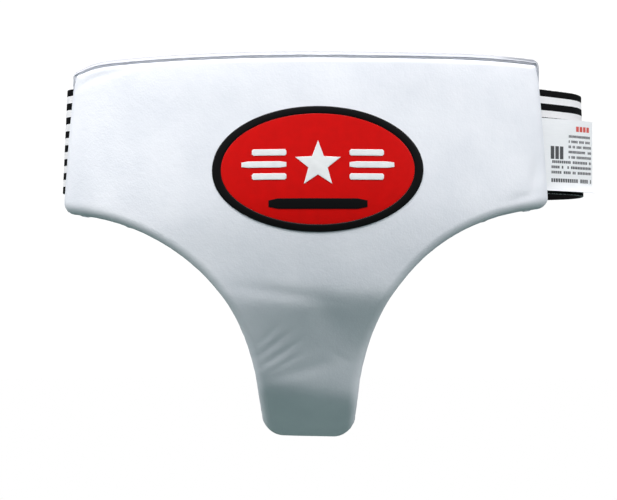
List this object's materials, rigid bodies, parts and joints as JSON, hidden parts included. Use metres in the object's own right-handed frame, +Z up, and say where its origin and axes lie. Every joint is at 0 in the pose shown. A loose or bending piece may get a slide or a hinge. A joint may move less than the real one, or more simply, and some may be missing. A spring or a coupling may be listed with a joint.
{
  "type": "groin protector",
  "caption": "Padded groin guard for boxing: a curved front panel with a moulded cup behind it, a wide striped waist elastic with a hook and loop closure, and a strap under the crotch.",
  "frame": {"origin": "middle of the waist opening, halfway up the belt", "axes": "+X to the right as seen from the front, -Y out through the front panel, +Z up the wearer's body"},
  "size_m": [0.3879, 0.2003, 0.2704],
  "materials": {
    "white_leather": "smooth coated white synthetic leather with a fine grain",
    "foam": "closed-cell foam sheet",
    "soft_foam": "open-cell foam sheet",
    "lining_fabric": "light knitted lining",
    "cup_plastic": "moulded polypropylene",
    "cup_rubber": "soft moulded edging",
    "badge_black": "printed vinyl transfer",
    "badge_red": "printed vinyl transfer",
    "badge_white": "printed vinyl transfer",
    "striped_elastic": "woven elastic, white with black stripes along it",
    "loop_pile": "looped pile tape",
    "hook_tape": "moulded nylon hooks on tape",
    "binding_tape": "folded woven tape",
    "thread": "polyester sewing thread",
    "satin_label": "printed satin ribbon"
  },
  "bodies": {
    "guard": {"front_cover": "white_leather", "edge_band": "white_leather", "outer_foam": "foam", "inner_foam": "soft_foam", "back_lining": "lining_fabric", "cup_shell": "cup_plastic", "cup_edge": "cup_rubber", "cup_surround": "lining_fabric", "cup_lining": "lining_fabric", "badge_border": "badge_black", "badge_field": "badge_red", "badge_star": "badge_white", "badge_bars": "badge_white", "badge_underline": "badge_black", "right_belt": "striped_elastic", "belt_end_hem": "binding_tape", "loop_tape": "loop_pile", "loop_stitches": "thread", "right_anchor": "white_leather", "left_anchor": "white_leather", "anchor_stitches": "thread", "rear_strap": "striped_elastic", "strap_patch": "white_leather", "strap_patch_stitches": "thread", "strap_top_stitches": "thread", "left_belt_end": "striped_elastic"},
    "left_belt": {"left_belt": "striped_elastic"},
    "closure_base": {"closure_cuff": "white_leather", "cuff_stitches": "thread"},
    "closure_tab": {"closure_tab": "white_leather", "hook_tape": "hook_tape", "hook_stitches": "thread", "tab_binding": "binding_tape"},
    "care_label": {"care_label": "satin_label"}
  },
  "joints": [
    {"name": "left_belt_swing", "type": "hinge", "parent": "guard", "child": "left_belt", "pos_m": [-0.16376, -0.01166, 0], "axis": [0, 0, 1], "range_deg": [0, 70]},
    {"name": "fit_slide", "type": "slide", "parent": "left_belt", "child": "closure_base", "axis": [1, 0, 0], "range_m": [0, 0.03]},
    {"name": "tab_peel", "type": "hinge", "parent": "closure_base", "child": "closure_tab", "pos_m": [-0.0639, 0.1021, 0], "axis": [0, 0, 1], "range_deg": [0, 65]},
    {"name": "label_flap", "type": "hinge", "parent": "guard", "child": "care_label", "pos_m": [0.1647, -0.0114, 0], "axis": [0, 0, -1], "range_deg": [0, 60]}
  ]
}
